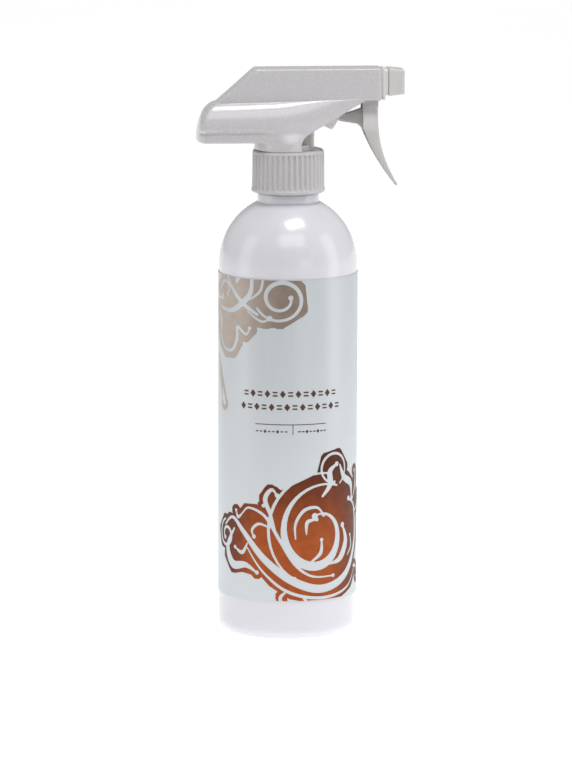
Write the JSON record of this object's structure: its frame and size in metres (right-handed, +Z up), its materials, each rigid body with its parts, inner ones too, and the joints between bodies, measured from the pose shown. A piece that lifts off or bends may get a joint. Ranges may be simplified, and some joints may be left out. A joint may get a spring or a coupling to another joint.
{
  "type": "trigger spray bottle",
  "caption": "Slim round spray bottle with a domed shoulder, a wrap label, a ribbed screw collar and a white trigger sprayer with a square nozzle.",
  "frame": {"origin": "centre of the flat pad under the bottle, on the bottle's axis", "axes": "+Z up along the bottle's axis, +X the way the nozzle points, Y across the sprayer head"},
  "size_m": [0.094, 0.0634, 0.2573],
  "materials": {
    "bottle_white": "glossy blow-moulded polyethylene",
    "label_film": "satin grey film label with copper and taupe foil scrollwork",
    "collar_white": "satin moulded polypropylene",
    "sprayer_body": "satin moulded polypropylene",
    "shroud_white": "semi-gloss moulded polypropylene",
    "trigger_white": "semi-gloss moulded polypropylene",
    "nozzle_white": "semi-gloss moulded polypropylene",
    "natural_plastic": "natural unpigmented polyethylene",
    "clear_tube": "translucent extruded polyethylene",
    "soft_seal": "foamed sealing liner",
    "spring_steel": "bright stainless"
  },
  "bodies": {
    "container": {"bottle": "bottle_white", "label": "label_film"},
    "closure_lift": {"neck_gasket": "soft_seal"},
    "collar_ring": {"collar": "collar_white"},
    "sprayer": {"pump_body": "sprayer_body", "shroud": "shroud_white", "tube_retainer": "natural_plastic", "dip_tube": "clear_tube", "spinner": "natural_plastic", "return_spring": "spring_steel", "outlet_spring": "spring_steel"},
    "trigger_lever": {"trigger": "trigger_white"},
    "pump_piston": {"piston": "natural_plastic", "piston_seal": "soft_seal"},
    "nozzle_cap": {"nozzle": "nozzle_white"},
    "inlet_valve": {"inlet_ball": "spring_steel"},
    "outlet_poppet": {"outlet_valve": "natural_plastic"}
  },
  "joints": [
    {"name": "head_lift", "type": "slide", "parent": "container", "child": "closure_lift", "axis": [0, 0, 1], "range_m": [0, 0.00635]},
    {"name": "collar_turn", "type": "hinge", "parent": "closure_lift", "child": "collar_ring", "pos_m": [0, 0, 0.2176], "axis": [0, 0, 1], "range_deg": [0, 540]},
    {"name": "head_swivel", "type": "hinge", "parent": "closure_lift", "child": "sprayer", "pos_m": [0, 0, 0.2161], "axis": [0, 0, 1], "continuous": true},
    {"name": "trigger_pull", "type": "hinge", "parent": "sprayer", "child": "trigger_lever", "pos_m": [0.0355, 0, 0.249], "axis": [0, 1, 0], "range_deg": [0, 20], "stiffness_Nm_per_rad": 0.5, "springref_deg": -11.46},
    {"name": "piston_stroke", "type": "slide", "parent": "sprayer", "child": "pump_piston", "axis": [-0.8829, 0, 0.4695], "range_m": [0, 0.0061], "deforming": ["return_spring"]},
    {"name": "nozzle_turn", "type": "hinge", "parent": "sprayer", "child": "nozzle_cap", "pos_m": [0.045, 0, 0.25095], "axis": [1, 0, 0], "continuous": true},
    {"name": "inlet_ball_lift", "type": "slide", "parent": "sprayer", "child": "inlet_valve", "axis": [0, 0, 1], "range_m": [0, 0.0012]},
    {"name": "outlet_valve_lift", "type": "slide", "parent": "sprayer", "child": "outlet_poppet", "axis": [1, 0, 0], "range_m": [0, 0.0008], "stiffness_N_per_m": 150, "springref_m": -0.001, "deforming": ["outlet_spring"]}
  ],
  "couplings": [
    {"joint": "collar_turn", "follows": "head_lift", "rad_per_m": 1484.2},
    {"joint": "piston_stroke", "follows": "trigger_pull", "m_per_rad": 0.01742}
  ]
}
